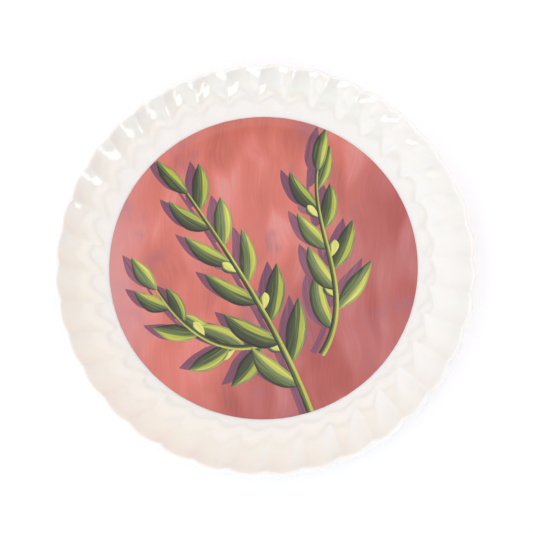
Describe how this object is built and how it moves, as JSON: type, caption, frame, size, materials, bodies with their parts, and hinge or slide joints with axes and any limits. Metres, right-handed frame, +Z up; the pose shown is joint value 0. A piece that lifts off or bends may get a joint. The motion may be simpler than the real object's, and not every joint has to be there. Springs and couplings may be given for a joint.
{
  "type": "fluted dinner plate",
  "caption": "Round dinner plate of glazed porcelain with a flat well, a fluted wall, a scalloped lip and a foot ring.",
  "frame": {"origin": "centre of the foot ring, on the plane that the plate stands on", "axes": "+Z up along the plate's own axis; a ridge between two flutes lies on +X"},
  "size_m": [0.2678, 0.2678, 0.0233],
  "materials": {
    "glaze": "clear glossy glaze over a warm white body",
    "print": "coloured print fired under the same glossy glaze"
  },
  "bodies": {
    "root": {"plate": "glaze"}
  },
  "joints": []
}
